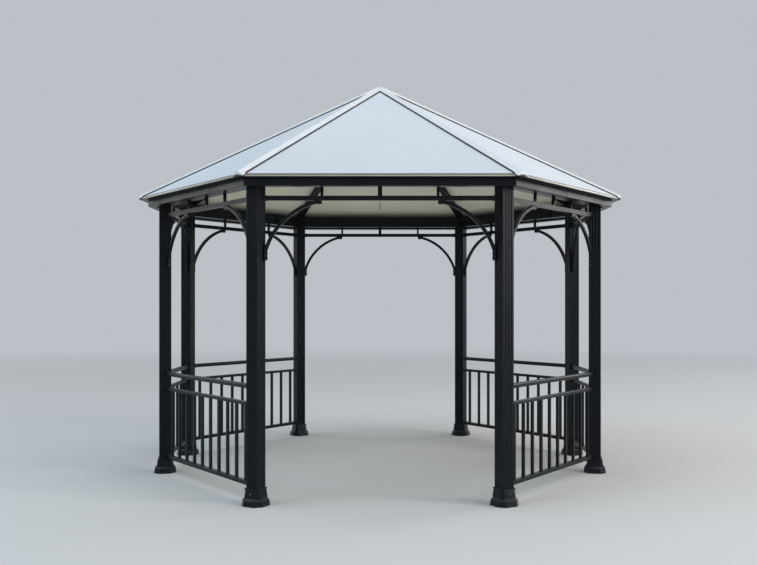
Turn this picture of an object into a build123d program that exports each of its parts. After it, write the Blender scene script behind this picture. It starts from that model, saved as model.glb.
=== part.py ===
from build123d import *
import os
from math import cos, radians, sin, sqrt, tan

# Octagonal garden gazebo, millimetres. The origin is on the ground below the apex,
# +X points to the right of somebody who walks in through the front entrance, +Y to the
# back entrance and +Z up. Eight posts stand on one circle.

# Plan: half the angle that a bay takes at the centre
post_circle_radius = 1830.0
entrance_half_angle = 28.0
side_half_angle = 13.5

# Fluted square posts, turned so that one face looks at the centre
post_width = 98.0
post_edge_radius = 6.0
flutes_per_face = 3
flute_pitch = 24.0
flute_width = 14.0
flute_depth = 4.0

# Cast feet: an eight-sided plinth with a sloped shoulder, and a sleeve round the post
base_plate_thickness = 12.0
sleeve_wall = 18.0
sleeve_corner = 22.0
sleeve_height = 58.0
sleeve_taper = 7.0
plinth_ledge = 22.0
plinth_corner = 44.0
plinth_wall_height = 40.0
plinth_taper = 8.0
shoulder_height = 15.0
shoulder_taper = 45.0
lip_overhang = 3.0
lip_height = 7.0

# Frieze rail under the eave beam, with short upright bars over the brackets' ends
frieze_rail_bottom = 2106.0
frieze_rail_height = 32.0
frieze_opening = 68.0
frieze_depth = 30.0
frieze_bar_depth = 18.0
frieze_middle_bar_width = 30.0
frieze_bar_width = 19.0
wide_bay_bars = 3
side_bay_bars = 2

# Eave beam on the posts: a box beam with a lower fascia along its outer side
beam_height = 104.0
beam_overhang = 21.0
fascia_depth = 60.0
fascia_drop = 15.0

# Roof: flat sheets from the eave up to one apex, thicknesses measured upright
eave_overhang = 55.0
eave_drop = 44.0
roof_rise = 1016.0
sheet_thickness = 11.5
sheet_joint_gap = 5.0
sheet_tip_radius = 30.0

# Pale edge profile under the sheets' lower edges
edge_profile_height = 19.0
edge_lip_thickness = 8.0
edge_lip_overhang = 4.0
edge_corner_gap = 3.0

# Pale ridged caps over the hips, and the cap where they meet
hip_cap_half_width = 44.0
hip_cap_ridge = 23.0
hip_cap_edge = 10.0
hip_cap_projection = 15.0
hip_cap_spacing = 1.5
apex_flat_drop = 17.0

# Hip rafters and the hub at their upper ends
rafter_width = 46.0
rafter_depth = 72.0
rafter_bearing_reach = 40.0
rafter_spacing = 7.0
hub_height = 140.0

# Corner brackets: an arc between a straight foot on the post and one under the frieze rail
bracket_drop = 415.0
bracket_width = 25.0
bracket_depth = 25.0
bracket_post_foot = 68.0
bracket_rail_foot = 46.0
bracket_bulge = 0.13
bracket_seat = 0.5

# Railings in the six bays beside the entrances
top_rail_top = 833.0
top_rail_height = 33.0
rail_spacing = 127.0
second_rail_height = 24.0
bottom_rail_clearance = 2.0
bottom_rail_height = 28.0
rail_depth = 36.0
baluster_width = 20.0
baluster_pitch = 136.0

# Heights and radii that follow from the values above
beam_bottom = frieze_rail_bottom + frieze_rail_height + frieze_opening
beam_top = beam_bottom + beam_height
beam_reach = post_width / 2 + beam_overhang
fascia_reach = beam_reach + fascia_depth
eave_reach = fascia_reach + eave_overhang
eave_height = beam_top - eave_drop
apex_height = eave_height + roof_rise
sheet_reach = eave_reach + edge_lip_overhang - edge_lip_thickness
sleeve_width = post_width + 2 * sleeve_wall
plinth_width = sleeve_width + 2 * plinth_ledge
lip_width = post_width + 2 * (lip_overhang + lip_height)
foot_sleeve_bottom = plinth_wall_height + shoulder_height
foot_lip_bottom = foot_sleeve_bottom + sleeve_height
foot_height = foot_lip_bottom + lip_height
second_rail_top = top_rail_top - rail_spacing
bottom_rail_top = foot_height + bottom_rail_clearance + bottom_rail_height
above_roof = apex_height + hub_height

# The caps and the rafters are cut off where neighbours in the narrowest bay would meet
diagonal_half_angle = (90.0 - entrance_half_angle - side_half_angle) / 2
narrowest = sin(radians(min(entrance_half_angle, side_half_angle, diagonal_half_angle)))
apex_cap_radius = (hip_cap_half_width + hip_cap_spacing) / narrowest
hub_radius = (rafter_width / 2 + rafter_spacing) / narrowest

# Posts go anticlockwise seen from above, from the one left of the front entrance.
# Bay n lies between post n and the next one.
post_names = [
    "front_left", "front_right", "right_front", "right_back",
    "back_right", "back_left", "left_back", "left_front",
]
bay_names = [
    "front", "front_right", "right", "back_right",
    "back", "back_left", "left", "front_left",
]
entrances = ("front", "back")
side_bays = ("left", "right")
post_angles = [
    270 - entrance_half_angle, 270 + entrance_half_angle,
    360 - side_half_angle, side_half_angle,
    90 - entrance_half_angle, 90 + entrance_half_angle,
    180 - side_half_angle, 180 + side_half_angle,
]
count = len(post_angles)


def post_point(post):
    angle = radians(post_angles[post % count])
    return Vector(post_circle_radius * cos(angle), post_circle_radius * sin(angle))


def tangent(post):
    """Horizontal direction across a post, towards the next post."""
    angle = radians(post_angles[post % count])
    return Vector(-sin(angle), cos(angle))


def bay_direction(bay):
    return (post_point(bay + 1) - post_point(bay)).normalized()


def bay_normal(bay):
    """Horizontal direction straight out of a bay."""
    along = bay_direction(bay)
    return Vector(along.Y, -along.X)


def bay_middle(bay):
    return (post_point(bay) + post_point(bay + 1)) * 0.5


def corner(post, reach):
    """Corner of the octagon that lies `reach` outside the lines between the posts."""
    before, after = bay_normal(post - 1), bay_normal(post)
    return post_point(post) + (before + after) * (reach / (1 + before.dot(after)))


def clear_width(bay):
    """Width between the faces of the two posts, along the line between their centres."""
    length = (post_point(bay + 1) - post_point(bay)).length
    return length - post_width / tangent(bay).dot(bay_direction(bay))


def post_plane(post, height=0.0):
    point = post_point(post)
    return Plane(origin=(point.X, point.Y, height), x_dir=tangent(post), z_dir=(0, 0, 1))


def bay_plane(bay, depth):
    """Upright plane of a bay, x along the bay and y up, `depth` / 2 inside the post line."""
    middle = bay_middle(bay) - bay_normal(bay) * (depth / 2)
    return Plane(origin=(middle.X, middle.Y, 0), x_dir=bay_direction(bay), z_dir=bay_normal(bay))


def post_faces(bay):
    """The two post faces that close a bay, both looking into it."""
    start, end = tangent(bay), tangent(bay + 1) * -1
    half = post_width / 2
    return [
        Plane(origin=post_point(bay) + start * half, z_dir=start),
        Plane(origin=post_point(bay + 1) + end * half, z_dir=end),
    ]


def roof_plane(bay, lift=0.0):
    """Upper face of the sheet over a bay, raised upright by `lift`."""
    outwards = bay_normal(bay)
    run = bay_middle(bay).length + eave_reach
    slope = Vector(outwards.X * roof_rise, outwards.Y * roof_rise, run)
    return Plane(origin=(0, 0, apex_height + lift), z_dir=slope)


def bay_strip(bay, inner, outer, gap=0.0):
    """Mitred plan strip along a bay, between two reaches from the post line."""
    shift = bay_direction(bay) * gap
    return [
        corner(bay, inner) + shift, corner(bay, outer) + shift,
        corner(bay + 1, outer) - shift, corner(bay + 1, inner) - shift,
    ]


def plan_polygon(points, mode=Mode.ADD):
    Polygon(*[(point.X, point.Y) for point in points], align=None, mode=mode)


def trim_to_posts(bay):
    for face in post_faces(bay):
        split(bisect_by=face, keep=Keep.TOP)


def bar_count(name):
    return side_bay_bars if name in side_bays else wide_bay_bars


def bracket_reach(bay, bars):
    """From a post's face to the end of its bracket, alike in all bays but the side ones."""
    widest = bay if bars == side_bay_bars else bay_names.index(entrances[0])
    return clear_width(widest) / (bars + 1)


def save(part, name):
    part.label = name
    export_step(part, f"parts/{name}.step")


def save_group(parts, name):
    with BuildPart() as group:
        add(parts)
    save(group.part, name)


def make_post(post):
    flute_radius = (flute_width**2 / 4 + flute_depth**2) / (2 * flute_depth)
    flute_centre = post_width / 2 + flute_radius - flute_depth
    with BuildPart() as column:
        with BuildSketch(post_plane(post, base_plate_thickness)):
            RectangleRounded(post_width, post_width, post_edge_radius)
            with PolarLocations(flute_centre, 4):
                with GridLocations(flute_pitch, flute_pitch, 1, flutes_per_face):
                    Circle(flute_radius, mode=Mode.SUBTRACT)
        extrude(amount=beam_bottom - base_plate_thickness)
    return column.part


def foot_tier(post, bottom, width, corner_cut, height, taper):
    """One eight-sided tier of a foot, drawn in by `taper` degrees towards its top."""
    with BuildPart() as tier:
        with BuildSketch(post_plane(post, bottom)) as outline:
            Rectangle(width, width)
            chamfer(outline.vertices(), length=corner_cut)
        extrude(amount=height, taper=taper)
    return tier.part


def make_foot(post):
    draw_in = plinth_wall_height * tan(radians(plinth_taper))
    shoulder_width = plinth_width - 2 * draw_in
    shoulder_corner = plinth_corner - (2 - sqrt(2)) * draw_in
    tiers = [
        (0, plinth_width, plinth_corner, plinth_wall_height, plinth_taper),
        (plinth_wall_height, shoulder_width, shoulder_corner, shoulder_height, shoulder_taper),
        (foot_sleeve_bottom, sleeve_width, sleeve_corner, sleeve_height, sleeve_taper),
        (foot_lip_bottom, lip_width, lip_height, lip_height, 0),
    ]
    with BuildPart() as foot:
        for tier in tiers:
            add(foot_tier(post, *tier))
        with BuildSketch(post_plane(post, base_plate_thickness)):
            Rectangle(post_width, post_width)
        extrude(amount=foot_height, mode=Mode.SUBTRACT)
    return foot.part


def make_eave_beam(bay):
    with BuildPart() as beam:
        with BuildSketch(Plane.XY.offset(beam_bottom)):
            plan_polygon(bay_strip(bay, -post_width / 2, beam_reach))
        extrude(amount=beam_height)
        with BuildSketch(Plane.XY.offset(beam_bottom - fascia_drop)):
            plan_polygon(bay_strip(bay, beam_reach, fascia_reach))
        extrude(amount=roof_rise)
        for nearby in (bay - 1, bay, bay + 1):
            split(bisect_by=roof_plane(nearby, -sheet_thickness), keep=Keep.BOTTOM)
    return beam.part


def make_roof_sheet(bay):
    reach = sheet_reach + sheet_joint_gap
    with BuildPart() as sheet:
        with BuildSketch():
            plan_polygon([Vector(0, 0), corner(bay, reach), corner(bay + 1, reach)])
            offset(amount=-sheet_joint_gap, kind=Kind.INTERSECTION)
            Circle(sheet_tip_radius, mode=Mode.SUBTRACT)
        extrude(amount=above_roof)
        split(bisect_by=roof_plane(bay), keep=Keep.BOTTOM)
        split(bisect_by=roof_plane(bay, -sheet_thickness), keep=Keep.TOP)
    return sheet.part


def make_edge_profile(bay):
    with BuildPart() as profile:
        with BuildSketch(Plane.XY.offset(eave_height - edge_profile_height)):
            plan_polygon(bay_strip(bay, fascia_reach, sheet_reach, edge_corner_gap))
        extrude(amount=roof_rise)
        split(bisect_by=roof_plane(bay, -sheet_thickness), keep=Keep.BOTTOM)
        with BuildSketch(Plane.XY.offset(eave_height - edge_profile_height)):
            lip_reach = sheet_reach + edge_lip_thickness
            plan_polygon(bay_strip(bay, sheet_reach, lip_reach, edge_corner_gap))
        extrude(amount=roof_rise)
        split(bisect_by=roof_plane(bay), keep=Keep.BOTTOM)
    return profile.part


def half_hip_cap(post, bay, near, far):
    """Half of a hip cap, on the bay beside it, between two radii."""
    end = corner(post, eave_reach)
    hip = end.normalized()
    across = Vector(-hip.Y, hip.X)
    if across.dot(bay_normal(bay)) < 0:
        across = across * -1
    edge = across * hip_cap_half_width
    reach = 2 * far
    run = bay_middle(bay).length + eave_reach
    fall = edge.dot(bay_normal(bay)) * roof_rise / run + hip_cap_ridge - hip_cap_edge
    ridge_line = Vector(hip.X, hip.Y, -roof_rise / end.length)
    face = ridge_line.cross(Vector(edge.X, edge.Y, -fall))
    if face.Z < 0:
        face = face * -1
    with BuildPart() as half:
        with BuildSketch():
            plan_polygon([hip * near, hip * far, hip * far + edge, hip * near + edge])
            wedge = [Vector(0, 0), hip * reach, bay_normal(bay) * reach]
            plan_polygon(wedge, mode=Mode.INTERSECT)
        extrude(amount=above_roof)
        top = Plane(origin=(0, 0, apex_height + hip_cap_ridge), z_dir=face)
        split(bisect_by=top, keep=Keep.BOTTOM)
        split(bisect_by=roof_plane(bay), keep=Keep.TOP)
    return half.part


def make_hip_cap(post):
    far = corner(post, eave_reach).length + hip_cap_projection
    halves = [half_hip_cap(post, bay % count, apex_cap_radius, far) for bay in (post - 1, post)]
    with BuildPart() as cap:
        add(halves)
    return cap.part


def make_rafter(post):
    end = corner(post, eave_reach)
    hip = end.normalized()
    slope = roof_rise / end.length
    outer = corner(post, rafter_bearing_reach).length
    top = apex_height - sheet_thickness
    upright = Plane(origin=(0, 0, 0), x_dir=hip, z_dir=(hip.Y, -hip.X, 0))
    with BuildPart() as rafter:
        with BuildSketch(upright):
            Polygon(
                (0, top),
                (outer, top - slope * outer),
                (outer, top - slope * outer - rafter_depth),
                (0, top - rafter_depth),
                align=None,
            )
        extrude(amount=rafter_width / 2, both=True)
        for bay in (post - 1, post):
            split(bisect_by=roof_plane(bay, -sheet_thickness), keep=Keep.BOTTOM)
        split(bisect_by=Plane.XY.offset(beam_top), keep=Keep.TOP)
        with Locations((0, 0, top - hub_height)):
            Cylinder(
                hub_radius, 2 * hub_height,
                align=(Align.CENTER, Align.CENTER, Align.CENTER), mode=Mode.SUBTRACT,
            )
    return rafter.part


def make_frieze(bay, bars):
    length = (post_point(bay + 1) - post_point(bay)).length
    bar_bottom = frieze_rail_bottom + frieze_rail_height
    pitch = (clear_width(bay) - 2 * bracket_reach(bay, bars)) / (bars - 1)
    with BuildPart() as frieze:
        with BuildSketch(bay_plane(bay, frieze_depth)):
            with Locations((0, frieze_rail_bottom)):
                Rectangle(length, frieze_rail_height, align=(Align.CENTER, Align.MIN))
        extrude(amount=frieze_depth)
        with BuildSketch(bay_plane(bay, frieze_bar_depth)):
            for place in range(bars):
                offset_x = (place - (bars - 1) / 2) * pitch
                width = frieze_middle_bar_width if offset_x == 0 else frieze_bar_width
                with Locations((offset_x, bar_bottom)):
                    Rectangle(width, frieze_opening, align=(Align.CENTER, Align.MIN))
        extrude(amount=frieze_bar_depth)
        trim_to_posts(bay)
    return frieze.part


def make_brackets(bay, bars):
    half = clear_width(bay) / 2
    reach = bracket_reach(bay, bars)
    inset = bracket_width / 2 - bracket_seat
    rail_line = frieze_rail_bottom - inset
    with BuildPart() as pair:
        with BuildSketch(bay_plane(bay, bracket_depth)):
            for side in (-1, 1):
                low = Vector(side * (half - inset), frieze_rail_bottom - bracket_drop)
                high = Vector(side * (half - reach), rail_line)
                bend_low = low + Vector(0, bracket_post_foot)
                bend_high = high + Vector(side * bracket_rail_foot, 0)
                chord = bend_high - bend_low
                outwards = Vector(-chord.Y, chord.X) * -side
                middle = (bend_low + bend_high) * 0.5 + outwards * bracket_bulge
                with BuildLine():
                    Line(low, bend_low)
                    ThreePointArc(bend_low, middle, bend_high)
                    Line(bend_high, high)
                trace(line_width=bracket_width)
                with Locations(bend_low, bend_high):
                    Circle(bracket_width / 2)
        extrude(amount=bracket_depth)
        trim_to_posts(bay)
        split(bisect_by=Plane.XY.offset(frieze_rail_bottom), keep=Keep.BOTTOM)
    return pair.part


def make_railing(bay):
    length = (post_point(bay + 1) - post_point(bay)).length
    rails = [
        (top_rail_top, top_rail_height),
        (second_rail_top, second_rail_height),
        (bottom_rail_top, bottom_rail_height),
    ]
    baluster_height = second_rail_top - second_rail_height - bottom_rail_top
    balusters = int(clear_width(bay) / baluster_pitch)
    with BuildPart() as railing:
        with BuildSketch(bay_plane(bay, rail_depth)):
            for top, height in rails:
                with Locations((0, top)):
                    Rectangle(length, height, align=(Align.CENTER, Align.MAX))
        extrude(amount=rail_depth)
        with BuildSketch(bay_plane(bay, baluster_width)):
            with Locations((0, bottom_rail_top + baluster_height / 2)):
                with GridLocations(baluster_pitch, baluster_pitch, balusters, 1):
                    Rectangle(baluster_width, baluster_height)
        extrude(amount=baluster_width)
        trim_to_posts(bay)
    return railing.part


os.makedirs("parts", exist_ok=True)

for post, name in enumerate(post_names):
    save(make_post(post), f"post_{name}")
save_group([make_foot(post) for post in range(count)], "post_feet")

brackets = []
for bay, name in enumerate(bay_names):
    save(make_eave_beam(bay), f"eave_beam_{name}")
    save(make_roof_sheet(bay), f"roof_sheet_{name}")
    save(make_frieze(bay, bar_count(name)), f"frieze_{name}")
    brackets.append(make_brackets(bay, bar_count(name)))
    if name not in entrances:
        save(make_railing(bay), f"railing_{name}")
save_group(brackets, "corner_brackets")

with BuildPart() as apex_hub:
    with Locations((0, 0, apex_height - sheet_thickness)):
        Cylinder(hub_radius, hub_height, align=(Align.CENTER, Align.CENTER, Align.MAX))
    for bay in range(count):
        split(bisect_by=roof_plane(bay, -sheet_thickness), keep=Keep.BOTTOM)
save(apex_hub.part, "apex_hub")

save_group([make_rafter(post) for post in range(count)], "hip_rafters")
save_group([make_edge_profile(bay) for bay in range(count)], "eave_edge_profiles")
save_group([make_hip_cap(post) for post in range(count)], "hip_caps")

with BuildPart() as apex_cap:
    for post in range(count):
        for bay in (post - 1, post):
            add(half_hip_cap(post, bay % count, 0.0, apex_cap_radius))
    flat = Plane.XY.offset(apex_height + hip_cap_ridge - apex_flat_drop)
    split(bisect_by=flat, keep=Keep.BOTTOM)
save(apex_cap.part, "apex_cap")
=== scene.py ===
"""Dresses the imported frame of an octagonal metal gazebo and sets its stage."""
from math import atan2, pi, radians

import bmesh
import bpy
from bpy.props import FloatProperty, FloatVectorProperty, PointerProperty
from mathutils import Matrix, Vector


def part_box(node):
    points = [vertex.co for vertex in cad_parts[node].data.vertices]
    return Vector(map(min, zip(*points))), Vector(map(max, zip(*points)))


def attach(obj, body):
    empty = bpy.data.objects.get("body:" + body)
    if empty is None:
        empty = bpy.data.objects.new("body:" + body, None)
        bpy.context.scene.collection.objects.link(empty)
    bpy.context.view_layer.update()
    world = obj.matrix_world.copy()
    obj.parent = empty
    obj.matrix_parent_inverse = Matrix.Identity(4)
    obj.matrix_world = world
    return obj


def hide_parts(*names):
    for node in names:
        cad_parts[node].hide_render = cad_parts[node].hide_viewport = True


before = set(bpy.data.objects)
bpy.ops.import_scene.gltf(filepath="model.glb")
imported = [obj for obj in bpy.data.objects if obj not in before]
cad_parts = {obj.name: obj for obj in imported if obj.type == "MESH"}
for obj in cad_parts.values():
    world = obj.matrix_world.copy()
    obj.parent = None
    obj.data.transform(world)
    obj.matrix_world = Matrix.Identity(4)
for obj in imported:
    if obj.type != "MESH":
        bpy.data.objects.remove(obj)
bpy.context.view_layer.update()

bl_info = {
    "name": "Metal gazebo",
    "version": (1, 0, 0),
    "blender": (4, 5, 0),
    "location": "3D View > Sidebar > Gazebo",
    "description": "Dresses the frame of an octagonal metal gazebo and sets its stage",
    "category": "Object",
}

UP = Vector((0, 0, 1))

# Posts go anticlockwise seen from above, and bay n lies between post n and the next one.
POSTS = ("front_left", "front_right", "right_front", "right_back",
         "back_right", "back_left", "left_back", "left_front")
BAYS = ("front", "front_right", "right", "back_right",
        "back", "back_left", "left", "front_left")
ENTRANCES = ("front", "back")
SIDE_BAYS = ("left", "right")
COUNT = len(POSTS)

# Upright bars in a frieze, whose even spacing sets how far the corner brackets reach
FRIEZE_BARS = 3
SIDE_FRIEZE_BARS = 2

# How close points count as one or as level, and the angles that count as flat and as sharp
MERGE_DISTANCE = 2e-5
TOLERANCE = 1e-4
FLAT_ANGLE = radians(0.5)
CREASE_ANGLE = radians(32)


def length(name, default, description):
    """Property for a size in metres."""
    return FloatProperty(name=name, default=default, description=description,
                         min=0.0, unit="LENGTH", subtype="DISTANCE", precision=4)


def colour(name, default, description):
    """Property for a linear colour."""
    return FloatVectorProperty(name=name, default=default, description=description,
                               size=3, min=0.0, max=1.0, subtype="COLOR")


def share(name, default, description):
    """Property for a value from 0 to 1."""
    return FloatProperty(name=name, default=default, description=description,
                         min=0.0, max=1.0, subtype="FACTOR")


class GazeboSizes(bpy.types.PropertyGroup):
    """Sizes of the frame that details line up with, and sizes of the details."""
    post_width: length("Post width", 0.098, "Width of the square posts")
    eave_reach: length("Eave reach", 0.185, "From the line between the posts out to the eave")
    fascia_reach: length("Fascia reach", 0.130, "From the line between the posts to the fascia")
    lip_reach: length("Lip reach", 0.189, "From the line between the posts to the eave's lip")
    apex_height: length("Apex height", 3.282, "Height at which the roof planes meet")
    eave_height: length("Eave height", 2.266, "Height of the sheets' upper face at the eave")
    sheet_thickness: length("Sheet thickness", 0.0115, "Upright thickness of the roof sheets")
    cap_half_width: length("Cap half width", 0.044, "From the hip to the edge of its cap")
    cap_ridge: length("Cap ridge", 0.023, "Height of the caps over the hip")
    cap_edge: length("Cap edge", 0.010, "Height of the caps at their edges")
    cap_projection: length("Cap projection", 0.015, "How far the caps run past the eave")
    rail_depth: length("Rail depth", 0.036, "Depth of the railings' rails")
    handrail_height: length("Handrail height", 0.033, "Height of the handrails' section")
    middle_rail_drop: length("Middle rail drop", 0.127, "From the handrails' top to the next rail")
    middle_rail_height: length("Middle rail height", 0.024, "Height of the rails under them")
    bottom_rail_height: length("Bottom rail height", 0.028, "Height of the lowest rails")
    frieze_depth: length("Frieze depth", 0.030, "Depth of the frieze rails")
    frieze_rail_height: length("Frieze rail height", 0.032, "Height of the frieze rails")
    bracket_width: length("Bracket width", 0.025, "Width of the corner brackets")
    bracket_post_foot: length("Bracket post foot", 0.068, "Straight foot against the post")
    bracket_rail_foot: length("Bracket rail foot", 0.046, "Straight foot under the frieze")
    hub_radius: length("Hub radius", 0.1285, "Radius of the hub that joins the rafters")
    hub_bottom: length("Hub bottom", 3.1305, "Height of the hub's lower face")
    sleeve_half: length("Sleeve half width", 0.0635, "From a post's middle to its foot's sleeve")

    beam_edge: length("Beam edge radius", 0.0028, "Edge radius of beams and fascias")
    rail_edge: length("Rail edge radius", 0.0016, "Edge radius of rails and bars")
    handrail_edge: length("Handrail radius", 0.013, "Radius along the top of the handrails")
    rail_top_edge: length("Rail top radius", 0.006, "Radius along the top of the other rails")
    bracket_edge: length("Bracket edge radius", 0.004, "Edge radius of the corner brackets")
    foot_edge: length("Foot edge radius", 0.003, "Edge radius of the cast feet")
    cap_round: length("Cap edge radius", 0.0022, "Edge radius of the hip caps")
    profile_edge: length("Profile edge radius", 0.0015, "Edge radius of the eave profiles")

    gasket_width: length("Gasket width", 0.016, "Width of the gaskets beside the hip caps")
    gasket_height: length("Gasket height", 0.0094, "Height of the gaskets over the sheets")
    gasket_sink: length("Gasket sink", 0.004, "How far the gaskets reach into the sheets")
    gasket_lip: length("Gasket lip", 0.002, "How far a gasket shows beside its cap")
    lug_length: length("Lug length", 0.024, "Length of the lugs at the eave's corners")
    lug_width: length("Lug width", 0.086, "Width of the lugs")
    lug_round: length("Lug radius", 0.010, "Radius of the lugs' corners")
    lug_setback: length("Lug setback", 0.003, "From a cap's end back to the lug under it")
    lug_sink: length("Lug sink", 0.009, "From a cap's faces down to the top of its lug")
    bead_height: length("Drip bead height", 0.0105, "Height of the bead along the eave profiles")
    bead_depth: length("Drip bead depth", 0.0035, "How far the drip bead stands out")
    # The soffit strips are painted shade: dark strips where the underside of the eave profiles
    # lies in shadow.
    soffit_thickness: length("Soffit thickness", 0.002, "Thickness of the dark soffit strips")
    joint_width: length("Joint width", 0.014, "Width of the joint profiles under wide sheets")
    joint_depth: length("Joint depth", 0.003, "Depth of the joint profiles under wide sheets")
    cup_length: length("Cup length", 0.024, "Length of the cups that hold the rails' ends")
    cup_wall: length("Cup wall", 0.0028, "Wall of the cups that hold the rails' ends")
    screw_radius: length("Screw radius", 0.0048, "Radius of the screw heads")
    rib_pitch: length("Rib pitch", 0.0105, "Distance between the webs inside the roof sheets")


class GazeboFinishes(bpy.types.PropertyGroup):
    """Colours and surface values of the gazebo's materials."""
    coat: colour("Coating", (0.0045, 0.0068, 0.0100), "Dark satin coat of the frame")
    coat_roughness: share("Coating roughness", 0.30, "Roughness of the dark coat")
    dust: colour("Dust", (0.095, 0.10, 0.105), "Dust that lies on upward faces")
    sheet: colour("Sheet", (0.70, 0.745, 0.80), "Opal roof sheets")
    sheet_web: colour("Sheet web", (0.60, 0.65, 0.71), "Opal sheets where a web shows through")
    # Painted light: paler and yellower than the sheet, standing in for light through the sheet and
    # light bounced up from the ground.
    sheet_below_painted_light: colour("Sheet from below", (0.88, 0.885, 0.70), "Opal sheets seen from below")
    cap: colour("Cap", (0.80, 0.82, 0.85), "Pale coat of the hip caps")
    # Dark grey: painted shade on the eave profiles, which are pale like their drip beads; it
    # stands in for the shade on their faces under the sheets' edge.
    profile: colour("Eave profile", (0.105, 0.11, 0.11), "Coat of the eave profiles")
    bead: colour("Drip bead", (0.50, 0.49, 0.42), "Coat of the drip beads")
    # Dark navy: partly the gaskets' black rubber, partly painted shade for the gap under the caps'
    # edges.
    rubber: colour("Rubber", (0.020, 0.031, 0.044), "Gaskets")
    lug: colour("Lug", (0.055, 0.052, 0.042), "Lugs at the eave's corners")
    screw: colour("Screw", (0.16, 0.165, 0.17), "Blackened steel screws")
    floor: colour("Floor", (0.68, 0.68, 0.68), "Studio floor")
    backdrop: colour("Backdrop", (0.50, 0.53, 0.565), "What the camera sees behind the floor")


# Layout, read from the frame

def centre_of(post):
    """Middle of a post, on the ground."""
    low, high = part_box(f"post_{POSTS[post]}")
    return Vector(((low.x + high.x) / 2, (low.y + high.y) / 2, 0))


POST_POINTS = [centre_of(post) for post in range(COUNT)]


def post_point(post):
    """Middle of a post, counted on past the last one and back before the first."""
    return POST_POINTS[post % COUNT]


def tangent(post):
    """Horizontal direction across a post, towards the next post."""
    return UP.cross(post_point(post).normalized())


def bay_direction(bay):
    """Horizontal direction along a bay, from its first post to the next."""
    return (post_point(bay + 1) - post_point(bay)).normalized()


def bay_normal(bay):
    """Horizontal direction straight out of a bay."""
    return bay_direction(bay).cross(UP)


def bay_middle(bay):
    """Point halfway between the two posts of a bay."""
    return (post_point(bay) + post_point(bay + 1)) / 2


def corner(post, reach):
    """Corner of the octagon that lies `reach` outside the lines between the posts."""
    before, after = bay_normal(post - 1), bay_normal(post)
    return post_point(post) + (before + after) * (reach / (1 + before.dot(after)))


def clear_width(bay, sizes):
    """Width between the faces of the two posts, along the line between their centres."""
    between = (post_point(bay + 1) - post_point(bay)).length
    return between - sizes.post_width / tangent(bay).dot(bay_direction(bay))


def bracket_reach(bay, sizes):
    """From a post's face to the end of its bracket, alike in all bays but the side ones."""
    if BAYS[bay] in SIDE_BAYS:
        return clear_width(bay, sizes) / (SIDE_FRIEZE_BARS + 1)
    return clear_width(BAYS.index("front"), sizes) / (FRIEZE_BARS + 1)


def axes(origin, x, y, z):
    """Matrix that puts local x, y and z along three directions."""
    return Matrix.Translation(origin) @ Matrix((x, y, z)).transposed().to_4x4()


def bay_axes(bay, along, height):
    """Axes of a bay: x along it, y inwards and z up, from a point on the post line."""
    x = bay_direction(bay)
    return axes(bay_middle(bay) + x * along + UP * height, x, -bay_normal(bay), UP)


def rail_heights(railing, sizes):
    """Bottom and top of each rail in a railing, from the handrail down."""
    low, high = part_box(railing)
    middle = high.z - sizes.middle_rail_drop
    return ((high.z - sizes.handrail_height, high.z),
            (middle - sizes.middle_rail_height, middle),
            (low.z, low.z + sizes.bottom_rail_height))


def post_faces(bay, sizes):
    """The two post faces that close a bay, each a point and a direction into the bay."""
    half = sizes.post_width / 2
    start, end = tangent(bay), -tangent(bay + 1)
    return [(post_point(bay) + start * half, start), (post_point(bay + 1) + end * half, end)]


def roof_run(bay, sizes):
    """Distance in plan from the apex straight out to a bay's eave."""
    return bay_middle(bay).dot(bay_normal(bay)) + sizes.eave_reach


def roof_slope(bay, sizes):
    """Fall of the roof over a bay for each metre outwards."""
    return (sizes.apex_height - sizes.eave_height) / roof_run(bay, sizes)


def roof_normal(bay, sizes):
    """Direction that a bay's roof sheet looks."""
    return (bay_normal(bay) * roof_slope(bay, sizes) + UP).normalized()


def on_roof(bay, point, sizes):
    """The point of a bay's roof plane that is straight over or under a point."""
    fall = point.dot(bay_normal(bay)) * roof_slope(bay, sizes)
    return Vector((point.x, point.y, sizes.apex_height - fall))


def hip(post, sizes):
    """Horizontal direction of a hip, and its length in plan out to the eave."""
    end = corner(post, sizes.eave_reach)
    return end.normalized(), end.length


def beside_hip(post, bay, sizes):
    """Horizontal direction square to a hip, on the side of one of its two bays."""
    across = UP.cross(hip(post, sizes)[0])
    return across if across.dot(bay_normal(bay)) > 0 else -across


def cap_face(post, bay, sizes):
    """Direction that a hip cap's upper face looks, on the side of a bay."""
    outwards, reach = hip(post, sizes)
    edge = beside_hip(post, bay, sizes) * sizes.cap_half_width
    fall = edge.dot(bay_normal(bay)) * roof_slope(bay, sizes) + sizes.cap_ridge - sizes.cap_edge
    ridge = outwards * reach - UP * (sizes.apex_height - sizes.eave_height)
    face = ridge.cross(edge - UP * fall).normalized()
    return face if face.z > 0 else -face


# Mesh tools

def merged_copy(node):
    """Clean mesh of a frame node: doubles merged and flat areas made one face."""
    bm = bmesh.new()
    bm.from_mesh(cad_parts[node].data)
    bmesh.ops.remove_doubles(bm, verts=bm.verts, dist=MERGE_DISTANCE)
    bmesh.ops.dissolve_limit(bm, angle_limit=FLAT_ANGLE, verts=bm.verts, edges=bm.edges)
    return bm


def touching(verts):
    """Vertices with all their edges and faces."""
    edges = {edge for vert in verts for edge in vert.link_edges}
    faces = {face for vert in verts for face in vert.link_faces}
    return [*verts, *edges, *faces]


def cut_away(bm, verts, point, facing):
    """Removes what lies behind a plane and closes the cut."""
    cut = bmesh.ops.bisect_plane(bm, geom=touching(verts), dist=1e-6, plane_co=point,
                                 plane_no=-facing, clear_outer=True)
    edges = [item for item in cut["geom_cut"] if isinstance(item, bmesh.types.BMEdge)]
    bmesh.ops.holes_fill(bm, edges=edges, sides=0)


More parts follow.
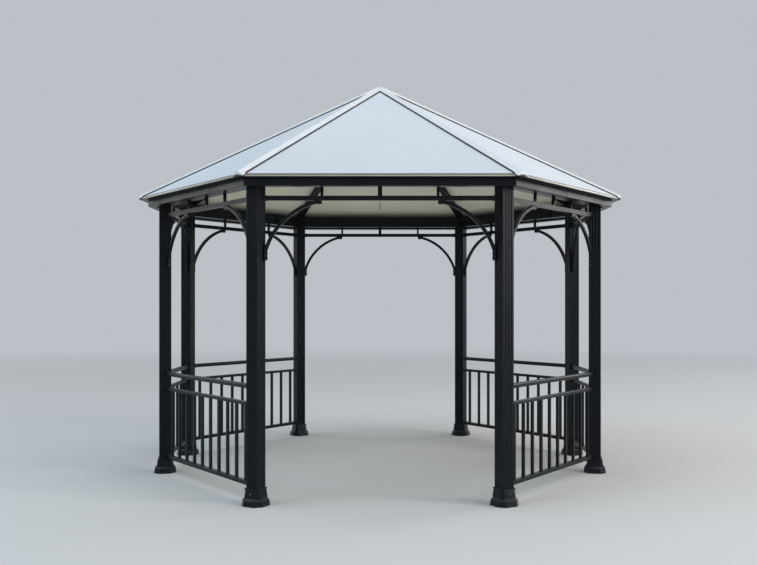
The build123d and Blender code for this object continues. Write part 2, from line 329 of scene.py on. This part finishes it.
def block(size, matrix, cuts=(), rounding=0.0):
    """Bmesh of a block, cut by planes and with all its edges rounded."""
    bm = bmesh.new()
    bmesh.ops.create_cube(bm, size=1.0, matrix=matrix @ Matrix.Diagonal((*size, 1)))
    for point, facing in cuts:
        cut_away(bm, bm.verts[:], point, facing)
    if rounding:
        round_edges(bm, bm.edges[:], rounding, segments=2)
    return bm


def pour(part, bm):
    """Moves the mesh of one bmesh into another."""
    mesh = bpy.data.meshes.new("part")
    part.to_mesh(mesh)
    part.free()
    bm.from_mesh(mesh)
    bpy.data.meshes.remove(mesh)


def round_edges(bm, edges, radius, segments=3):
    """Rounds the given edges, less where they are too short for the radius."""
    bmesh.ops.bevel(bm, geom=edges, offset=radius, offset_type="OFFSET", segments=segments,
                    profile=0.5, affect="EDGES", material=-1, clamp_overlap=True)


def add_screw(bm, place, outwards, radius):
    """Pan head with a round recess, standing on a surface."""
    height = radius * 0.8
    crown_radius = radius * 0.72
    rim_width = radius * 0.36
    recess_depth = height * 0.6
    turn = UP.rotation_difference(outwards).to_matrix().to_4x4()
    head = bmesh.ops.create_cone(
        bm, cap_ends=True, segments=12, radius1=radius, radius2=crown_radius, depth=height,
        matrix=Matrix.Translation(place + outwards * (height / 2)) @ turn)
    top = max({face for vert in head["verts"] for face in vert.link_faces},
              key=lambda face: face.calc_center_median().dot(outwards))
    bmesh.ops.inset_individual(bm, faces=[top], thickness=rim_width)
    bmesh.ops.translate(bm, verts=top.verts[:], vec=-outwards * recess_depth)


def make_piece(bm, name, material, replaces=(), edge=0.0, segments=2):
    """Turns a bmesh into a piece that rides on the frame, with an optional edge radius."""
    mesh = bpy.data.meshes.new(name)
    bm.to_mesh(mesh)
    bm.free()
    mesh.materials.append(material)
    mesh.shade_smooth()
    mesh.set_sharp_from_angle(angle=CREASE_ANGLE)
    piece = bpy.data.objects.new(name, mesh)
    bpy.context.scene.collection.objects.link(piece)
    if edge:
        bevel = piece.modifiers.new("Edges", "BEVEL")
        bevel.width = edge
        bevel.segments = segments
        bevel.limit_method = "ANGLE"
        bevel.angle_limit = CREASE_ANGLE
        bevel.harden_normals = True
    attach(piece, "root")
    if replaces:
        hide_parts(*replaces)


def coat_node(name, material):
    """Gives a frame node whose shape stays a better material."""
    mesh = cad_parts[name].data
    mesh.materials.clear()
    mesh.materials.append(material)


# Material tools

class Finish:
    """A node material that is being put together."""

    def __init__(self, name):
        self.material = bpy.data.materials.new(name)
        self.material.use_nodes = True
        self.tree = self.material.node_tree
        self.surface = self.tree.nodes["Principled BSDF"]
        self.place = self.add("ShaderNodeTexCoord").outputs["Object"]

    def plug(self, socket, value):
        """Links another node's socket, or sets a number or colour on this one."""
        if isinstance(value, bpy.types.NodeSocket):
            self.tree.links.new(value, socket)
        elif hasattr(value, "__len__") and len(value) == 3 and len(socket.default_value) == 4:
            socket.default_value = (*value, 1.0)
        else:
            socket.default_value = value

    def add(self, kind, inputs=None, **settings):
        """Adds a node with its settings and inputs."""
        node = self.tree.nodes.new(kind)
        for key, value in settings.items():
            setattr(node, key, value)
        for key, value in (inputs or {}).items():
            self.plug(node.inputs[key], value)
        return node

    def noise(self, scale, detail=3.0):
        """Clouds on the piece's own coordinates, `scale` of them in about a metre."""
        inputs = {"Vector": self.place, "Scale": scale, "Detail": detail}
        return self.add("ShaderNodeTexNoise", inputs).outputs["Fac"]

    def math(self, operation, first, second):
        return self.add("ShaderNodeMath", {0: first, 1: second}, operation=operation).outputs[0]

    def remap(self, value, old, new=(0.0, 1.0)):
        """Carries the range `old` over to the range `new` and holds the value at its ends."""
        inputs = {"Value": value, "From Min": old[0], "From Max": old[1],
                  "To Min": new[0], "To Max": new[1]}
        return self.add("ShaderNodeMapRange", inputs).outputs["Result"]

    def mix(self, factor, first, second):
        """Mixes two colours. The node's colour sockets can only be told apart by number."""
        node = self.add("ShaderNodeMix", data_type="RGBA")
        self.plug(node.inputs[0], factor)
        self.plug(node.inputs[6], first)
        self.plug(node.inputs[7], second)
        return node.outputs[2]

    def split(self, vector):
        return self.add("ShaderNodeSeparateXYZ", {"Vector": vector}).outputs

    def upward(self):
        """How far a face looks up, from -1 to 1."""
        return self.split(self.add("ShaderNodeNewGeometry").outputs["Normal"])["Z"]

    def bump(self, height, distance, strength):
        """Lets a height show in the surface's shading."""
        inputs = {"Height": height, "Distance": distance, "Strength": strength}
        self.set("Normal", self.add("ShaderNodeBump", inputs).outputs["Normal"])

    def set(self, name, value):
        self.plug(self.surface.inputs[name], value)


def shade(tint, factor):
    """A colour made darker or paler by a factor."""
    return tuple(min(1.0, part * factor) for part in tint)


def finish_named(name):
    """The material of that name, built the first time that it is asked for."""
    return bpy.data.materials.get(name) or BUILDERS[name](name, bpy.context.scene.gazebo_finishes)


def build_coat(name, look, peel_scale=420.0, peel_depth=0.00012):
    """Dark powder coat: fine orange peel, dust on what faces up or lies low."""
    finish = Finish(name)
    cloud = finish.noise(scale=3.0, detail=4.0)
    facing_up = finish.remap(finish.upward(), (0.35, 0.95))
    patches = finish.remap(finish.noise(scale=22.0, detail=5.0), (0.3, 0.75), (0.15, 0.55))
    lying = finish.math("MULTIPLY", facing_up, patches)
    near_ground = finish.remap(finish.split(finish.place)["Z"], (0.08, 0.0), (0.0, 0.12))
    drops = finish.remap(finish.noise(scale=150.0, detail=4.0), (0.4, 0.7))
    splash = finish.math("MULTIPLY", near_ground, drops)
    dusty = finish.math("MAXIMUM", lying, splash)
    coat = finish.mix(cloud, look.coat, shade(look.coat, 0.78))
    finish.set("Base Color", finish.mix(dusty, coat, look.dust))
    rough = finish.remap(cloud, (0.3, 0.7),
                         (look.coat_roughness - 0.05, look.coat_roughness + 0.06))
    duller = finish.math("MULTIPLY", dusty, 0.2)
    finish.set("Roughness", finish.math("ADD", rough, duller))
    finish.set("Specular IOR Level", 0.2)
    finish.bump(finish.noise(scale=peel_scale, detail=2.0), distance=peel_depth, strength=0.55)
    return finish.material


def build_casting(name, look):
    """The same coat over the coarser skin of the cast feet."""
    return build_coat(name, look, peel_scale=160.0, peel_depth=0.0005)


def build_painted(name, tint):
    """Smooth paint with faint weathering."""
    finish = Finish(name)
    grime = finish.remap(finish.noise(scale=9.0, detail=6.0), (0.35, 0.8))
    finish.set("Base Color", finish.mix(grime, tint, shade(tint, 0.9)))
    finish.set("Roughness", finish.remap(finish.noise(scale=5.0), (0.3, 0.7), (0.28, 0.40)))
    finish.bump(finish.noise(scale=380.0, detail=2.0), distance=0.0001, strength=0.4)
    return finish.material


def build_rubber(name, look):
    """Dull black rubber with a grey bloom; its navy tint is partly painted shade."""
    finish = Finish(name)
    bloom = finish.remap(finish.noise(scale=30.0, detail=4.0), (0.4, 0.8), (0.0, 0.25))
    finish.set("Base Color", finish.mix(bloom, look.rubber, look.dust))
    finish.set("Roughness", finish.remap(finish.noise(scale=80.0), (0.3, 0.7), (0.6, 0.78)))
    finish.bump(finish.noise(scale=900.0, detail=2.0), distance=0.0001, strength=0.5)
    return finish.material


def build_lug(name, look):
    """Moulded plastic, a little paler in clouds."""
    finish = Finish(name)
    cloud = finish.noise(scale=40.0, detail=4.0)
    finish.set("Base Color", finish.mix(cloud, look.lug, shade(look.lug, 1.4)))
    finish.set("Roughness", finish.remap(finish.noise(scale=60.0), (0.3, 0.7), (0.45, 0.6)))
    finish.bump(finish.noise(scale=700.0, detail=2.0), distance=0.00012, strength=0.5)
    return finish.material


def build_screw(name, look):
    """Blackened steel, worn paler in patches."""
    finish = Finish(name)
    worn = shade(look.screw, 1.8)
    finish.set("Base Color", finish.mix(finish.noise(scale=260.0), look.screw, worn))
    finish.set("Metallic", 1.0)
    finish.set("Roughness", finish.remap(finish.noise(scale=500.0), (0.3, 0.7), (0.28, 0.5)))
    finish.bump(finish.noise(scale=1500.0, detail=2.0), distance=0.00005, strength=0.4)
    return finish.material


def build_sheet(bay, sizes, look):
    """Opal twin-wall sheet: webs show as faint lines; faces that look down get painted light."""
    web_blur, web_strength = 0.0014, 0.45
    finish = Finish(f"opal_{BAYS[bay]}")
    along = bay_direction(bay)
    turned = finish.add("ShaderNodeMapping", {"Vector": finish.place,
                                              "Rotation": (0.0, 0.0, -atan2(along.y, along.x))})
    across = finish.split(turned.outputs["Vector"])["X"]
    web = finish.math("PINGPONG", across, sizes.rib_pitch / 2)
    line = finish.remap(web, (0.0, web_blur), (1.0, 0.0))
    milky = finish.remap(finish.noise(scale=1.6, detail=4.0), (0.3, 0.7), (0.0, 0.30))
    depth = finish.math("ADD", finish.math("MULTIPLY", line, web_strength), milky)
    above = finish.mix(depth, look.sheet, look.sheet_web)
    # Faces that look down take painted light: a paler, yellower colour for light through the sheet
    # and light bounced up from the ground.
    under = finish.mix(depth, look.sheet_below_painted_light, shade(look.sheet_below_painted_light, 0.9))
    below = finish.remap(finish.upward(), (0.0, -0.4))
    finish.set("Base Color", finish.mix(below, above, under))
    finish.set("Roughness", finish.remap(finish.noise(scale=4.0), (0.3, 0.7), (0.66, 0.74)))
    finish.set("Specular IOR Level", 0.15)
    finish.bump(finish.math("MULTIPLY", line, -1.0), distance=0.00012, strength=0.3)
    return finish.material


BUILDERS = {
    "dark_coat": build_coat,
    "cast_coat": build_casting,
    "cap_paint": lambda name, look: build_painted(name, look.cap),
    # Dark grey paint that is painted shade on the pale eave profiles.
    "profile_painted_shade": lambda name, look: build_painted(name, look.profile),
    "bead_paint": lambda name, look: build_painted(name, look.bead),
    # Gasket rubber, darkened partly as painted shade for the gap under the caps' edges.
    "gasket_rubber_painted_shade": build_rubber,
    "lug_plastic": build_lug,
    "screw_steel": build_screw,
}


# Operators

class DressOperator:
    """What the operators share."""
    bl_options = {"REGISTER", "UNDO"}

    def execute(self, context):
        self.build(context.scene.gazebo_sizes)
        return {"FINISHED"}


class GAZEBO_OT_posts(DressOperator, bpy.types.Operator):
    """Coat the fluted posts"""
    bl_idname = "gazebo.posts"
    bl_label = "Coat the posts"

    def build(self, sizes):
        for post in POSTS:
            coat_node(f"post_{post}", finish_named("dark_coat"))


class GAZEBO_OT_feet(DressOperator, bpy.types.Operator):
    """Round the cast feet and add their set screws"""
    bl_idname = "gazebo.feet"
    bl_label = "Dress the feet"
    screw_height = 0.084
    screw_scale = 1.25

    def build(self, sizes):
        make_piece(merged_copy("post_feet"), "cast_feet", finish_named("cast_coat"),
                   ["post_feet"], sizes.foot_edge, segments=3)
        bm = bmesh.new()
        for post in range(COUNT):
            outwards = post_point(post).normalized()
            for side in (outwards, -outwards):
                place = post_point(post) + side * sizes.sleeve_half + UP * self.screw_height
                add_screw(bm, place, side, sizes.screw_radius * self.screw_scale)
        make_piece(bm, "foot_set_screws", finish_named("screw_steel"))


class GAZEBO_OT_beams(DressOperator, bpy.types.Operator):
    """Round the eave beams, the rafters and their hub, and cover the hub"""
    bl_idname = "gazebo.beams"
    bl_label = "Dress the beams and rafters"
    cover_overlap = 0.012
    cover_depth = 0.010
    nut_radius = 0.011
    nut_height = 0.008
    nut_sink = 0.001
    dome_radius = 0.78 * nut_radius

    def build(self, sizes):
        for node in [f"eave_beam_{bay}" for bay in BAYS] + ["hip_rafters", "apex_hub"]:
            make_piece(merged_copy(node), f"coated_{node}", finish_named("dark_coat"),
                       [node], sizes.beam_edge)
        self.add_cover(sizes)

    def add_cover(self, sizes):
        """Domed cover under the hub, held by one capped nut."""
        radius = sizes.hub_radius + self.cover_overlap
        bm = bmesh.new()
        shape = bmesh.ops.create_uvsphere(
            bm, u_segments=48, v_segments=14, radius=1.0,
            matrix=Matrix.Translation(UP * sizes.hub_bottom)
            @ Matrix.Diagonal((radius, radius, self.cover_depth, 1)))
        cut_away(bm, shape["verts"], UP * sizes.hub_bottom, -UP)
        nut_bottom = sizes.hub_bottom - self.cover_depth + self.nut_sink - self.nut_height
        nut_middle = nut_bottom + self.nut_height / 2
        bmesh.ops.create_cone(bm, cap_ends=True, segments=6, radius1=self.nut_radius,
                              radius2=self.nut_radius, depth=self.nut_height,
                              matrix=Matrix.Translation(UP * nut_middle))
        bmesh.ops.create_uvsphere(bm, u_segments=16, v_segments=10, radius=self.dome_radius,
                                  matrix=Matrix.Translation(UP * (nut_bottom + self.nut_sink)))
        make_piece(bm, "hub_cover", finish_named("dark_coat"))


class GAZEBO_OT_friezes(DressOperator, bpy.types.Operator):
    """Round the frieze rails and their bars"""
    bl_idname = "gazebo.friezes"
    bl_label = "Dress the friezes"

    def build(self, sizes):
        for bay in BAYS:
            node = f"frieze_{bay}"
            make_piece(merged_copy(node), f"coated_{node}", finish_named("dark_coat"),
                       [node], sizes.rail_edge)


class GAZEBO_OT_brackets(DressOperator, bpy.types.Operator):
    """Round the curved corner brackets and screw them on"""
    bl_idname = "gazebo.brackets"
    bl_label = "Dress the corner brackets"
    screw_spread = 0.016

    def build(self, sizes):
        make_piece(merged_copy("corner_brackets"), "curved_brackets",
                   finish_named("dark_coat"), ["corner_brackets"],
                   sizes.bracket_edge, segments=3)
        low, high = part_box("corner_brackets")
        bm = bmesh.new()
        for bay in range(COUNT):
            half = clear_width(bay, sizes) / 2
            inner_end = half - bracket_reach(bay, sizes)
            for side in (-1, 1):
                self.add_post_screws(bm, bay, side, half - sizes.bracket_width, low.z, sizes)
                self.add_rail_screw(bm, bay, side, inner_end, high.z, sizes)
        make_piece(bm, "bracket_screws", finish_named("screw_steel"))

    def add_post_screws(self, bm, bay, side, along, bottom, sizes):
        """Two screws through a bracket's foot into the post."""
        middle = bottom + sizes.bracket_post_foot / 2
        for offset in (-self.screw_spread, self.screw_spread):
            place = bay_axes(bay, side * along, middle + offset).translation
            add_screw(bm, place, bay_direction(bay) * -side, sizes.screw_radius)

    def add_rail_screw(self, bm, bay, side, along, top, sizes):
        """One screw up through a bracket's other foot into the frieze rail."""
        place = bay_axes(bay, side * (along + sizes.bracket_rail_foot / 2),
                         top - sizes.bracket_width).translation
        add_screw(bm, place, -UP, sizes.screw_radius)


class GAZEBO_OT_railings(DressOperator, bpy.types.Operator):
    """Round the railings, with fuller radii along the tops of the rails"""
    bl_idname = "gazebo.railings"
    bl_label = "Dress the railings"
    shortest_rail = 0.3

    def build(self, sizes):
        for bay in BAYS:
            if bay in ENTRANCES:
                continue
            node = f"railing_{bay}"
            bm = merged_copy(node)
            radii = (sizes.handrail_edge, sizes.rail_top_edge, sizes.rail_top_edge)
            for (_, top), radius in zip(rail_heights(node, sizes), radii):
                round_edges(bm, self.long_edges(bm, top), radius, segments=5)
            make_piece(bm, f"coated_{node}", finish_named("dark_coat"),
                       [node], sizes.rail_edge)

    def long_edges(self, bm, height):
        """The edges at a height that run from post to post."""
        return [edge for edge in bm.edges
                if edge.calc_length() > self.shortest_rail
                and all(abs(vert.co.z - height) < TOLERANCE for vert in edge.verts)]


class GAZEBO_OT_cups(DressOperator, bpy.types.Operator):
    """Add the cups that hold the rails' ends to the posts"""
    bl_idname = "gazebo.cups"
    bl_label = "Add the rail cups"
    screw_place = 0.45
    screw_scale = 0.8

    def build(self, sizes):
        cups, screws = bmesh.new(), bmesh.new()
        for bay, name in enumerate(BAYS):
            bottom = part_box(f"frieze_{name}")[0].z
            self.add_pair(cups, screws, bay, bottom, bottom + sizes.frieze_rail_height,
                          sizes.frieze_depth, sizes)
            if name not in ENTRANCES:
                for bottom, top in rail_heights(f"railing_{name}", sizes):
                    self.add_pair(cups, screws, bay, bottom, top, sizes.rail_depth, sizes)
        make_piece(cups, "rail_cups", finish_named("dark_coat"))
        make_piece(screws, "rail_cup_screws", finish_named("screw_steel"))

    def add_pair(self, cups, screws, bay, bottom, top, depth, sizes):
        """A cup at each end of a rail, with a screw on its inner side."""
        half = clear_width(bay, sizes) / 2
        height = (bottom + top) / 2
        walls = 2 * sizes.cup_wall
        # The block runs on into the post for twice a cup's length, and the post's face cuts it
        size = (3 * sizes.cup_length, depth + walls, top - bottom + walls)
        inwards = -bay_normal(bay)
        for side, face in zip((-1, 1), post_faces(bay, sizes)):
            middle = bay_axes(bay, side * (half + sizes.cup_length / 2), height)
            pour(block(size, middle, [face], sizes.cup_wall / 2), cups)
            along = side * (half - sizes.cup_length * self.screw_place)
            place = bay_axes(bay, along, height).translation + inwards * size[1] / 2
            add_screw(screws, place, inwards, sizes.screw_radius * self.screw_scale)


class GAZEBO_OT_roof(DressOperator, bpy.types.Operator):
    """Finish the opal roof sheets and add the joints under the wide ones"""
    bl_idname = "gazebo.roof"
    bl_label = "Dress the roof sheets"
    joint_round = 0.001

    def build(self, sizes):
        look = bpy.context.scene.gazebo_finishes
        for bay, name in enumerate(BAYS):
            coat_node(f"roof_sheet_{name}", build_sheet(bay, sizes, look))
        bm = bmesh.new()
        for name in ENTRANCES:
            pour(self.joint(BAYS.index(name), sizes), bm)
        make_piece(bm, "sheet_joints", finish_named("bead_paint"))

    def joint(self, bay, sizes):
        """Flat profile under the middle of a sheet, from the hub down to the beam."""
        outwards, normal = bay_normal(bay), roof_normal(bay, sizes)
        down = bay_direction(bay).cross(normal)
        near, far = sizes.hub_radius, bay_middle(bay).length - sizes.post_width / 2
        middle = on_roof(bay, outwards * (near + far) / 2, sizes) - UP * sizes.sheet_thickness
        size = (sizes.joint_width, (far - near) / abs(down.dot(outwards)), 2 * sizes.joint_depth)
        place = axes(middle, bay_direction(bay), down, normal)
        return block(size, place, rounding=self.joint_round)


class GAZEBO_OT_caps(DressOperator, bpy.types.Operator):
    """Round the hip caps, set lugs under their ends and lay gaskets beside them, whose dark line
    is partly painted shade
    """
    bl_idname = "gazebo.caps"
    bl_label = "Dress the hip caps"
    least_alignment = 0.8
    ridge_clearance = 0.01
    gasket_round = 0.0022
    gasket_overrun = 1.2

    def build(self, sizes):
        for node in ("hip_caps", "apex_cap"):
            make_piece(merged_copy(node), f"folded_{node}", finish_named("cap_paint"),
                       [node], sizes.cap_round)
        lugs, gaskets = bmesh.new(), bmesh.new()
        for post in range(COUNT):
            pour(self.lug(post, sizes), lugs)
            for bay in ((post - 1) % COUNT, post):
                pour(self.gasket(post, bay, sizes), gaskets)
        make_piece(lugs, "eave_corner_lugs", finish_named("lug_plastic"))
        # The gaskets' dark line is partly rubber and partly painted shade under the caps' edges.
        make_piece(gaskets, "hip_gaskets_and_shade", finish_named("gasket_rubber_painted_shade"))

    def lug(self, post, sizes):
        """Rounded lug under the end of a cap, which hides the eave's mitre."""
        outwards, reach = hip(post, sizes)
        end = reach + sizes.cap_projection - sizes.lug_setback
        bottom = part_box("eave_edge_profiles")[0].z
        top = sizes.eave_height + sizes.cap_ridge
        origin = outwards * (end - sizes.lug_length / 2) + UP * (bottom + top) / 2
        size = (sizes.lug_width, sizes.lug_length, top - bottom)
        crown = UP * (sizes.apex_height + sizes.cap_ridge - sizes.lug_sink)
        cuts = [(crown, -cap_face(post, bay % COUNT, sizes)) for bay in (post - 1, post)]
        bm = block(size, axes(origin, outwards.cross(UP), outwards, UP), cuts)
        sides = [edge for edge in bm.edges if self.is_side(edge, outwards)]
        round_edges(bm, sides, sizes.lug_round, segments=5)
        rim = [edge for edge in bm.edges
               if all(vert.co.dot(outwards) > end - TOLERANCE for vert in edge.verts)]
        round_edges(bm, rim, sizes.lug_round / 3)
        return bm

    def is_side(self, edge, outwards):
        """Whether an edge of a lug runs outwards, and not along its ridge."""
        start, end = (vert.co for vert in edge.verts)
        runs_out = abs((start - end).normalized().dot(outwards)) > self.least_alignment
        return runs_out and abs(start.dot(UP.cross(outwards))) > self.ridge_clearance

    def gasket(self, post, bay, sizes):
        """Strip on the sheet beside a cap, mitred where it meets its neighbour at the apex. Its
        dark line is partly painted shade under the cap's edge.
        """
        outwards, reach = hip(post, sizes)
        beside = beside_hip(post, bay, sizes)
        normal = roof_normal(bay, sizes)
        down = (outwards * reach - UP * (sizes.apex_height - sizes.eave_height)).normalized()
        lateral = down.cross(normal)
        if lateral.dot(beside) < 0:
            lateral = -lateral
        edge = sizes.cap_half_width + sizes.gasket_lip - sizes.gasket_width / 2
        middle = (on_roof(bay, outwards * (reach / 2) + beside * edge, sizes)
                  + normal * (sizes.gasket_height - sizes.gasket_sink) / 2)
        size = (sizes.gasket_width, self.gasket_overrun * reach / down.dot(outwards),
                sizes.gasket_height + sizes.gasket_sink)
        eave = bay_middle(bay) + bay_normal(bay) * sizes.lip_reach
        centre = bay_direction(bay) * (1 if bay == post else -1)
        cuts = [(eave, -bay_normal(bay)), (Vector(), -centre)]
        return block(size, axes(middle, lateral, down, normal), cuts, self.gasket_round)


class GAZEBO_OT_eaves(DressOperator, bpy.types.Operator):
    """Round the eave profiles, which carry painted shade, and add drip beads and dark strips of
    painted shade under them
    """
    bl_idname = "gazebo.eaves"
    bl_label = "Dress the eaves"
    mitre_gap = 0.002
    bead_root = 0.002
    bead_round = 0.0012
    soffit_setback = 0.004
    soffit_sink = 0.0005

    def build(self, sizes):
        # The profiles get dark grey painted shade in place of their pale coat.
        make_piece(merged_copy("eave_edge_profiles"), "eave_profiles_painted_shade",
                   finish_named("profile_painted_shade"), ["eave_edge_profiles"],
                   sizes.profile_edge)
        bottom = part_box("eave_edge_profiles")[0].z
        beads, painted_shade_strips = bmesh.new(), bmesh.new()
        for bay in range(COUNT):
            reaches = (sizes.lip_reach - self.bead_root, sizes.lip_reach + sizes.bead_depth)
            heights = (bottom, bottom + sizes.bead_height)
            pour(self.strip(bay, reaches, heights, self.bead_round), beads)
            # Dark strip under each profile: painted shade where its underside lies in shadow.
            reaches = (sizes.fascia_reach, sizes.lip_reach - self.soffit_setback)
            heights = (bottom - sizes.soffit_thickness, bottom + self.soffit_sink)
            pour(self.strip(bay, reaches, heights), painted_shade_strips)
        make_piece(beads, "drip_beads", finish_named("bead_paint"))
        make_piece(painted_shade_strips, "soffit_painted_shade", finish_named("dark_coat"))

    def strip(self, bay, reaches, heights, rounding=0.0):
        """Block along a bay between two reaches and two heights, mitred at both corners."""
        inner, outer = reaches
        bottom, top = heights
        along = bay_direction(bay)
        middle = bay_axes(bay, 0.0, (bottom + top) / 2)
        middle.translation += bay_normal(bay) * (inner + outer) / 2
        size = (2 * (corner(bay, outer) - bay_middle(bay)).length, outer - inner, top - bottom)
        cuts = []
        for post, side in ((bay, along), (bay + 1, -along)):
            mitre = (corner(post, outer) - corner(post, inner)).normalized().cross(UP)
            if mitre.dot(side) < 0:
                mitre = -mitre
            cuts.append((corner(post, inner) + side * self.mitre_gap, mitre))
        return block(size, middle, cuts, rounding)


class GAZEBO_OT_stage(DressOperator, bpy.types.Operator):
    """Set the floor, the lamps, the world and the camera"""
    bl_idname = "gazebo.stage"
    bl_label = "Set the stage"
    # Place, width and height, power and colour of each lamp
    lamps = {
        "key": ((15.3, -6.4, 5.4), (4.0, 8.0), 560.0, (1.0, 0.985, 0.96)),
        "edge": ((14.5, 7.1, 6.2), (8.3, 5.1), 620.0, (1.0, 0.98, 0.95)),
        "rim": ((-14.5, 7.1, 6.2), (8.3, 5.1), 240.0, (1.0, 0.97, 0.92)),
        "fill": ((-9.5, -4.4, 11.0), (10.0, 10.0), 600.0, (0.62, 0.85, 1.0)),
        "warm": ((10.8, -7.6, 8.6), (9.0, 9.0), 690.0, (1.0, 0.95, 0.88)),
        "sky": ((0.0, -1.0, 9.0), (8.0, 8.0), 150.0, (0.98, 0.99, 1.0)),
    }
    lamp_target = Vector((0.0, 0.0, 1.8))
    ambient_tint = (0.88, 0.94, 1.0)
    ambient_strength = 0.36
    floor_half_width = 60.0
    fade_range = (4.0, 20.0)
    camera_place = (0.0, -7.63, 1.387)
    focal_length = 41.33
    lens_shift = (-0.002, 0.029)

    def build(self, sizes):
        self.add_floor()
        self.add_world()
        for name, settings in self.lamps.items():
            self.add_lamp(name, *settings)
        self.add_camera()

    def add_floor(self):
        """Wide floor that fades into the backdrop far out."""
        look = bpy.context.scene.gazebo_finishes
        bm = bmesh.new()
        bmesh.ops.create_grid(bm, x_segments=1, y_segments=1, size=self.floor_half_width)
        mesh = bpy.data.meshes.new("floor")
        bm.to_mesh(mesh)
        bm.free()
        finish = Finish("studio_floor")
        finish.set("Base Color", look.floor)
        finish.set("Roughness", finish.remap(finish.noise(scale=0.8), (0.3, 0.7), (0.8, 0.9)))
        far = finish.add("ShaderNodeVectorMath", {0: finish.place}, operation="LENGTH")
        fade = finish.remap(far.outputs["Value"], self.fade_range)
        glow = finish.add("ShaderNodeEmission", {"Color": look.backdrop, "Strength": 1.0})
        both = finish.add("ShaderNodeMixShader")
        finish.plug(both.inputs[0], finish.math("MULTIPLY", fade, self.shown(finish.tree)))
        finish.plug(both.inputs[1], finish.surface.outputs["BSDF"])
        finish.plug(both.inputs[2], glow.outputs["Emission"])
        finish.plug(finish.tree.nodes["Material Output"].inputs["Surface"], both.outputs[0])
        mesh.materials.append(finish.material)
        floor = bpy.data.objects.new("floor", mesh)
        bpy.context.scene.collection.objects.link(floor)

    def shown(self, tree):
        """1 for the rays that show the background: camera, glossy and transmission rays."""
        rays = tree.nodes.new("ShaderNodeLightPath").outputs
        total = rays["Is Camera Ray"]
        for name in ("Is Glossy Ray", "Is Transmission Ray"):
            join = tree.nodes.new("ShaderNodeMath")
            join.operation = "MAXIMUM"
            tree.links.new(total, join.inputs[0])
            tree.links.new(rays[name], join.inputs[1])
            total = join.outputs[0]
        return total

    def add_world(self):
        """Soft light from all round, and the backdrop for the rays that show it."""
        look = bpy.context.scene.gazebo_finishes
        world = bpy.data.worlds.new("studio")
        world.use_nodes = True
        bpy.context.scene.world = world
        tree = world.node_tree
        ambient = tree.nodes["Background"]
        ambient.inputs["Color"].default_value = (*self.ambient_tint, 1.0)
        ambient.inputs["Strength"].default_value = self.ambient_strength
        shown = tree.nodes.new("ShaderNodeBackground")
        shown.inputs["Color"].default_value = (*look.backdrop, 1.0)
        both = tree.nodes.new("ShaderNodeMixShader")
        tree.links.new(self.shown(tree), both.inputs[0])
        tree.links.new(ambient.outputs[0], both.inputs[1])
        tree.links.new(shown.outputs[0], both.inputs[2])
        tree.links.new(both.outputs[0], tree.nodes["World Output"].inputs["Surface"])

    def add_lamp(self, name, place, size, power, tint):
        """Soft lamp that looks at the middle of the gazebo."""
        lamp = bpy.data.lights.new(name, "AREA")
        lamp.shape = "RECTANGLE"
        lamp.size, lamp.size_y = size
        lamp.energy = power
        lamp.color = tint
        holder = bpy.data.objects.new(name, lamp)
        holder.location = place
        aim = self.lamp_target - Vector(place)
        holder.rotation_euler = aim.to_track_quat("-Z", "Y").to_euler()
        bpy.context.scene.collection.objects.link(holder)

    def add_camera(self):
        """Level camera in front of the entrance, at eye height."""
        lens = bpy.data.cameras.new("camera")
        lens.sensor_width = 36.0
        lens.lens = self.focal_length
        lens.shift_x, lens.shift_y = self.lens_shift
        lens.clip_end = 200.0
        camera = bpy.data.objects.new("camera", lens)
        camera.location = self.camera_place
        camera.rotation_euler = (pi / 2, 0.0, 0.0)
        bpy.context.scene.collection.objects.link(camera)
        bpy.context.scene.camera = camera
        bpy.context.scene.view_settings.view_transform = "Standard"


OPERATORS = (
    GAZEBO_OT_posts, GAZEBO_OT_feet, GAZEBO_OT_beams, GAZEBO_OT_friezes, GAZEBO_OT_brackets,
    GAZEBO_OT_railings, GAZEBO_OT_cups, GAZEBO_OT_roof, GAZEBO_OT_caps, GAZEBO_OT_eaves,
    GAZEBO_OT_stage,
)


class GAZEBO_PT_panel(bpy.types.Panel):
    """Gazebo tools in the sidebar"""
    bl_label = "Gazebo"
    bl_idname = "GAZEBO_PT_panel"
    bl_space_type = "VIEW_3D"
    bl_region_type = "UI"
    bl_category = "Gazebo"

    def draw(self, context):
        for group in (context.scene.gazebo_sizes, context.scene.gazebo_finishes):
            box = self.layout.box()
            for name in group.__annotations__:
                box.prop(group, name)
        for operator in OPERATORS:
            self.layout.operator(operator.bl_idname)


CLASSES = (GazeboSizes, GazeboFinishes, *OPERATORS, GAZEBO_PT_panel)


def register():
    for item in CLASSES:
        bpy.utils.register_class(item)
    bpy.types.Scene.gazebo_sizes = PointerProperty(type=GazeboSizes)
    bpy.types.Scene.gazebo_finishes = PointerProperty(type=GazeboFinishes)


def unregister():
    del bpy.types.Scene.gazebo_finishes
    del bpy.types.Scene.gazebo_sizes
    for item in reversed(CLASSES):
        bpy.utils.unregister_class(item)


def main():
    register()
    bpy.ops.gazebo.posts()
    bpy.ops.gazebo.feet()
    bpy.ops.gazebo.beams()
    bpy.ops.gazebo.friezes()
    bpy.ops.gazebo.brackets()
    bpy.ops.gazebo.railings()
    bpy.ops.gazebo.cups()
    bpy.ops.gazebo.roof()
    bpy.ops.gazebo.caps()
    bpy.ops.gazebo.eaves()
    bpy.ops.gazebo.stage()


if __name__ == "__main__":
    main()
